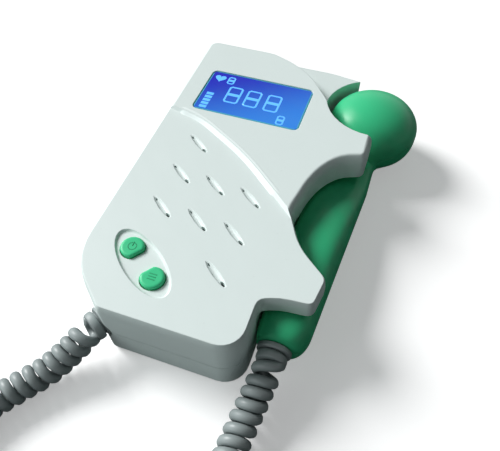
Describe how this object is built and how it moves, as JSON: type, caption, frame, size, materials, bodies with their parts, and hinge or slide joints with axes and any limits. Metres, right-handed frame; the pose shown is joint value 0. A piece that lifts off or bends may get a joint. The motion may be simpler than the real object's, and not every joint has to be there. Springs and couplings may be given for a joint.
{
  "type": "fetal doppler monitor",
  "caption": "Handheld fetal doppler monitor with display, speaker slots and two buttons, its probe in a side holder and a curly cord between them.",
  "frame": {"origin": "middle of the footprint of the unit with its probe, on the surface that it lies on", "axes": "+X towards the probe's side, +Y towards the display end, +Z out of the face with the display"},
  "size_m": [0.1123, 0.2316, 0.028],
  "materials": {
    "housing_plastic": "fine satin",
    "green_plastic": "satin gloss",
    "display_blue": "clear window over a blue display",
    "inner_plastic": "matte",
    "dark_plastic": "matte",
    "board_laminate": "lacquered",
    "plated_steel": "plated",
    "cell_jacket": "printed jacket, plain",
    "cord_rubber": "satin"
  },
  "bodies": {
    "unit": {"rear_shell": "housing_plastic", "front_cover": "housing_plastic", "battery_cell_1": "cell_jacket", "battery_cell_2": "cell_jacket", "battery_contact_near": "plated_steel", "battery_contact_far": "plated_steel", "display_window": "display_blue", "display_glass": "display_blue", "display_frame": "inner_plastic", "main_board": "board_laminate", "power_switch": "dark_plastic", "mode_switch": "dark_plastic", "speaker_basket": "dark_plastic", "speaker_cone": "dark_plastic", "speaker_magnet": "plated_steel", "housing_screw_1": "plated_steel", "housing_screw_2": "plated_steel", "housing_screw_3": "plated_steel", "housing_screw_4": "plated_steel", "volume_control": "dark_plastic", "earphone_socket": "dark_plastic", "cord_bush": "cord_rubber", "curly_cord": "cord_rubber"},
    "probe": {"probe_upper_shell": "green_plastic", "probe_lower_shell": "green_plastic", "acoustic_face": "inner_plastic", "crystal_disc": "plated_steel", "crystal_holder": "dark_plastic", "probe_collar": "cord_rubber"},
    "power_key": {"power_button": "green_plastic"},
    "mode_key": {"mode_button": "green_plastic"},
    "door": {"battery_door": "housing_plastic"},
    "wheel": {"volume_wheel": "dark_plastic"}
  },
  "joints": [
    {"name": "probe_slide", "type": "slide", "parent": "unit", "child": "probe", "axis": [1, 0, 0], "range_m": [0, 0.06]},
    {"name": "power_press", "type": "slide", "parent": "unit", "child": "power_key", "axis": [0, 0, -1], "range_m": [0, 0.0008], "stiffness_N_per_m": 600},
    {"name": "mode_press", "type": "slide", "parent": "unit", "child": "mode_key", "axis": [0, 0, -1], "range_m": [0, 0.0008], "stiffness_N_per_m": 600},
    {"name": "door_slide", "type": "slide", "parent": "unit", "child": "door", "axis": [0, 1, 0], "range_m": [0, 0.062]},
    {"name": "wheel_turn", "type": "hinge", "parent": "unit", "child": "wheel", "pos_m": [-0.03974, -0.012, 0.0152], "axis": [0, 0, 1], "range_deg": [-150, 150]}
  ]
}
